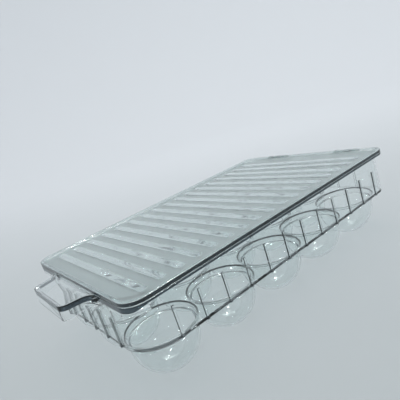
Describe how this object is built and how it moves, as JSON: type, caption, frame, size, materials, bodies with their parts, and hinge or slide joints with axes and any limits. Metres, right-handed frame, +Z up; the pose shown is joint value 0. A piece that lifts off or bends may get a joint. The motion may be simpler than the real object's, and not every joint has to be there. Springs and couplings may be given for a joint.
{
  "type": "egg keeper with flip lid",
  "caption": "Clear moulded egg keeper: a tray of hanging round cups with a front pull handle, and a ridged lid that flips up on two hinges at the back.",
  "frame": {"origin": "on the surface the cups stand on, in the middle of the keeper's box", "axes": "+Z up, +Y towards the hinges, with the pull handle at -Y; +X to the right seen from the handle"},
  "size_m": [0.1646, 0.2822, 0.0659],
  "materials": {
    "tray_plastic": "clear, glossy, moulded in one with its cups",
    "lid_plastic": "clear, glossy"
  },
  "bodies": {
    "tray": {"egg_cup_a1": "tray_plastic", "egg_cup_b1": "tray_plastic", "egg_cup_c1": "tray_plastic", "egg_cup_a2": "tray_plastic", "egg_cup_b2": "tray_plastic", "egg_cup_c2": "tray_plastic", "egg_cup_a3": "tray_plastic", "egg_cup_b3": "tray_plastic", "egg_cup_c3": "tray_plastic", "egg_cup_a4": "tray_plastic", "egg_cup_b4": "tray_plastic", "egg_cup_c4": "tray_plastic", "egg_cup_a5": "tray_plastic", "egg_cup_b5": "tray_plastic", "egg_cup_c5": "tray_plastic", "cup_collar_a1": "tray_plastic", "cup_collar_b1": "tray_plastic", "cup_collar_c1": "tray_plastic", "cup_collar_a2": "tray_plastic", "cup_collar_b2": "tray_plastic", "cup_collar_c2": "tray_plastic", "cup_collar_a3": "tray_plastic", "cup_collar_b3": "tray_plastic", "cup_collar_c3": "tray_plastic", "cup_collar_a4": "tray_plastic", "cup_collar_b4": "tray_plastic", "cup_collar_c4": "tray_plastic", "cup_collar_a5": "tray_plastic", "cup_collar_b5": "tray_plastic", "cup_collar_c5": "tray_plastic", "tray_wall": "tray_plastic", "rim": "tray_plastic", "front_lip": "tray_plastic", "pull_handle": "tray_plastic", "ribs_left": "tray_plastic", "ribs_right": "tray_plastic", "ribs_front": "tray_plastic", "ribs_back": "tray_plastic", "hinge_bracket_left": "tray_plastic", "hinge_bracket_right": "tray_plastic"},
    "lid": {"lid_border": "lid_plastic", "lid_panel": "lid_plastic", "lid_knuckle_left": "lid_plastic", "lid_knuckle_right": "lid_plastic"}
  },
  "joints": [
    {"name": "lid_hinge", "type": "hinge", "parent": "tray", "child": "lid", "pos_m": [0, 0.1361, 0.06194], "axis": [-1, 0, 0], "range_deg": [0, 110]}
  ]
}
